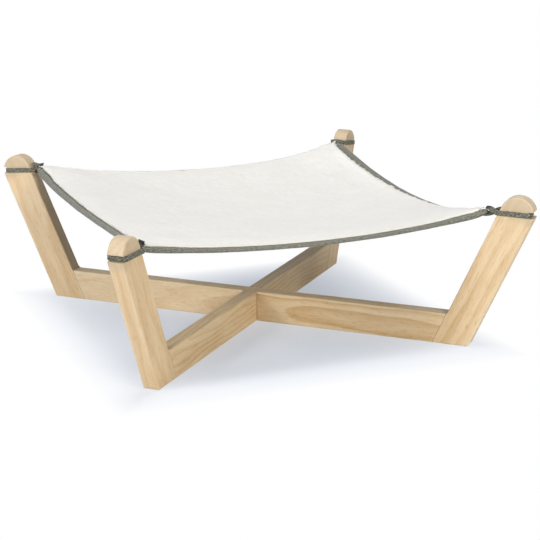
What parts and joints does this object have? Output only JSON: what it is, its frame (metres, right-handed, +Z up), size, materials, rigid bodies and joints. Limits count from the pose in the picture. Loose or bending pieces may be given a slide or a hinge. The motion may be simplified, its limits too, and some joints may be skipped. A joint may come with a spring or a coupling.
{
  "type": "cat hammock",
  "caption": "Low cat hammock: a square fleece sling hung by corner tape loops from crossed wooden frames whose posts lean outwards.",
  "frame": {"origin": "on the floor under the middle of the crossing of the rails", "axes": "+Z up. The sling's edges run along X and Y, and the frames stand on the diagonals: the lower rail runs from front left (-X, -Y) to rear right, the upper rail from front right (+X, -Y) to rear left. The front edge of the sling faces -Y."},
  "size_m": [0.5374, 0.5374, 0.1952],
  "materials": {
    "frame_wood": "pale laminated wood, fine sanded, clear matt oil",
    "dowel_wood": "plain hardwood rod, glued",
    "fleece": "white short-pile fleece",
    "canvas": "grey plain-weave canvas",
    "binding_tape": "grey heathered woven tape, folded and stitched",
    "loop_tape": "dark grey flat elastic tape"
  },
  "bodies": {
    "lower_frame": {"lower_rail": "frame_wood", "post_front_left": "frame_wood", "post_rear_right": "frame_wood", "dowel_front_left_low": "dowel_wood", "dowel_front_left_high": "dowel_wood", "dowel_rear_right_low": "dowel_wood", "dowel_rear_right_high": "dowel_wood"},
    "upper_frame": {"upper_rail": "frame_wood", "post_front_right": "frame_wood", "post_rear_left": "frame_wood", "dowel_front_right_low": "dowel_wood", "dowel_front_right_high": "dowel_wood", "dowel_rear_left_low": "dowel_wood", "dowel_rear_left_high": "dowel_wood"},
    "sling": {"fleece_top": "fleece", "canvas_base": "canvas", "binding_front": "binding_tape", "binding_right": "binding_tape", "binding_rear": "binding_tape", "binding_left": "binding_tape", "loop_front_left": "loop_tape", "loop_front_right": "loop_tape", "loop_rear_right": "loop_tape", "loop_rear_left": "loop_tape"}
  },
  "joints": [
    {"name": "frames_lift", "type": "slide", "parent": "lower_frame", "child": "upper_frame", "axis": [0, 0, 1], "range_m": [0, 0.06], "deforming": ["loop_front_left", "loop_front_right", "loop_rear_right", "loop_rear_left"]},
    {"name": "sling_lift", "type": "slide", "parent": "upper_frame", "child": "sling", "axis": [0, 0, 1], "range_m": [0, 0.06], "deforming": ["loop_front_left", "loop_front_right", "loop_rear_right", "loop_rear_left"]}
  ]
}
